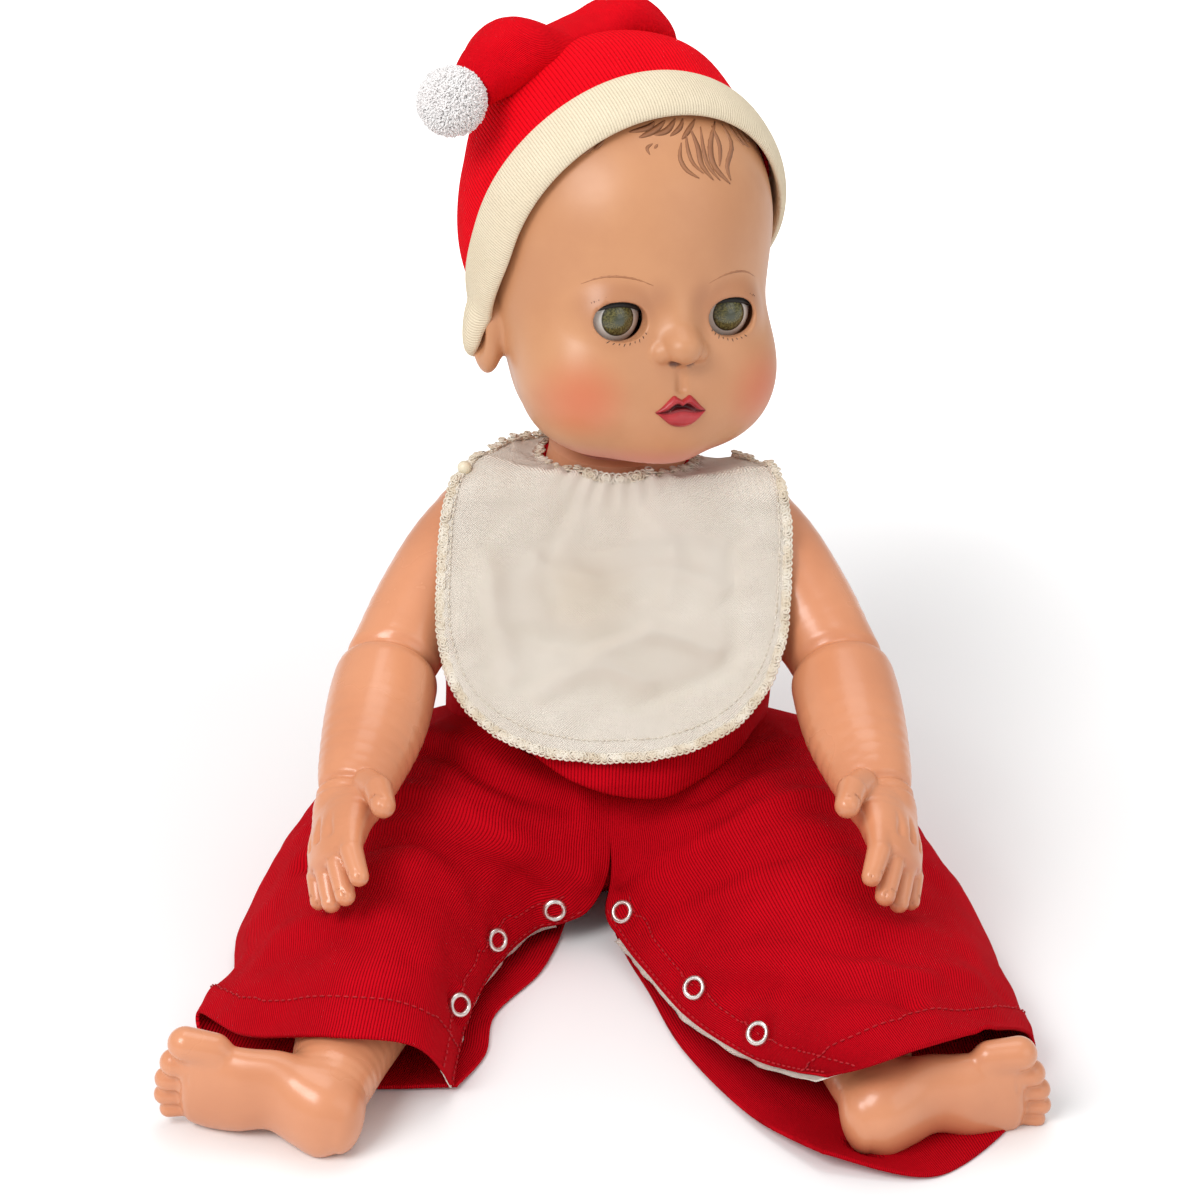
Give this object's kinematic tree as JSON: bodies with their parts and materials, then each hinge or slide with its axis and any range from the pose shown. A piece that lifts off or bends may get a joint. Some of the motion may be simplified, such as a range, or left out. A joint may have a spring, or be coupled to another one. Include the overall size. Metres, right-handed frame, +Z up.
{
  "type": "baby doll",
  "caption": "Seated vinyl baby doll with turning head, jointed arms and legs and rocking sleep eyes, in a knitted cap, lace-edged bib and corduroy overalls.",
  "frame": {"origin": "floor point under the middle of the doll's seat", "axes": "+Z up, the doll faces -Y, its right hand is towards -X"},
  "size_m": [0.3136, 0.3457, 0.3366],
  "materials": {
    "head_vinyl": "satin moulded vinyl",
    "limb_vinyl": "semi-gloss moulded vinyl",
    "body_vinyl": "satin moulded vinyl",
    "plug_plastic": "moulded",
    "eye_white": "polished",
    "iris_green": "polished",
    "lash_fibre": "matt fibre",
    "wire_steel": "drawn",
    "lead": "cast",
    "red_knit": "fine rib knit",
    "cream_knit": "fine rib knit",
    "white_yarn": "fluffy",
    "red_corduroy": "fine-wale corduroy",
    "white_cotton": "plain weave",
    "white_lace": "crocheted",
    "snap_steel": "plated",
    "button_plastic": "moulded"
  },
  "bodies": {
    "torso": {"torso_front": "body_vinyl", "torso_back": "body_vinyl", "overalls_body": "red_corduroy", "overalls_strap_right": "red_corduroy", "overalls_strap_left": "red_corduroy", "strap_button_right": "button_plastic", "strap_button_left": "button_plastic", "crotch_snap_right": "snap_steel", "crotch_snap_left": "snap_steel", "bib_cloth": "white_cotton", "bib_lace": "white_lace", "bib_neckband": "white_cotton", "bib_bead": "button_plastic"},
    "head": {"head_shell": "head_vinyl", "neck_plug": "plug_plastic", "eye_saddle_right": "plug_plastic", "eye_saddle_left": "plug_plastic", "hat_cuff": "cream_knit", "hat_crown": "red_knit", "hat_pompom": "white_yarn"},
    "eyes": {"eyeball_right": "eye_white", "eyeball_left": "eye_white", "iris_right": "iris_green", "iris_left": "iris_green", "eyelid_right": "head_vinyl", "eyelid_left": "head_vinyl", "lashes_right": "lash_fibre", "lashes_left": "lash_fibre", "rocker_wire": "wire_steel", "eye_weight": "lead"},
    "arm_right": {"arm_right": "limb_vinyl", "shoulder_plug_right": "plug_plastic"},
    "leg_right": {"leg_right": "limb_vinyl", "hip_plug_right": "plug_plastic", "overalls_leg_right": "red_corduroy", "inseam_facing_right": "white_cotton", "leg_snap_right_1": "snap_steel", "leg_snap_right_2": "snap_steel"},
    "arm_left": {"arm_left": "limb_vinyl", "shoulder_plug_left": "plug_plastic"},
    "leg_left": {"leg_left": "limb_vinyl", "hip_plug_left": "plug_plastic", "overalls_leg_left": "red_corduroy", "inseam_facing_left": "white_cotton", "leg_snap_left_1": "snap_steel", "leg_snap_left_2": "snap_steel"}
  },
  "joints": [
    {"name": "head_turn", "type": "hinge", "parent": "torso", "child": "head", "pos_m": [0.00555, 0.0338, 0.159], "axis": [0.0341, 0.2078, 0.9776], "range_deg": [-90, 40]},
    {"name": "eyes_sleep", "type": "hinge", "parent": "head", "child": "eyes", "pos_m": [0.0235, 0.01152, 0.23676], "axis": [0.9253, 0.3631, -0.1095], "range_deg": [0, 56]},
    {"name": "shoulder_right", "type": "hinge", "parent": "torso", "child": "arm_right", "pos_m": [-0.03318, 0.02933, 0.138], "axis": [-1, 0, 0], "range_deg": [0, 105], "deforming": ["bib_cloth", "bib_lace", "bib_bead"]},
    {"name": "shoulder_left", "type": "hinge", "parent": "torso", "child": "arm_left", "pos_m": [0.04282, 0.02933, 0.138], "axis": [-1, 0, 0], "range_deg": [0, 105], "deforming": ["bib_cloth", "bib_lace", "bib_bead"]},
    {"name": "hip_right", "type": "hinge", "parent": "torso", "child": "leg_right", "pos_m": [-0.044, -0.002, 0.033], "axis": [1, 0, 0], "range_deg": [0, 80]},
    {"name": "hip_left", "type": "hinge", "parent": "torso", "child": "leg_left", "pos_m": [0.044, -0.002, 0.033], "axis": [1, 0, 0], "range_deg": [0, 80]}
  ]
}
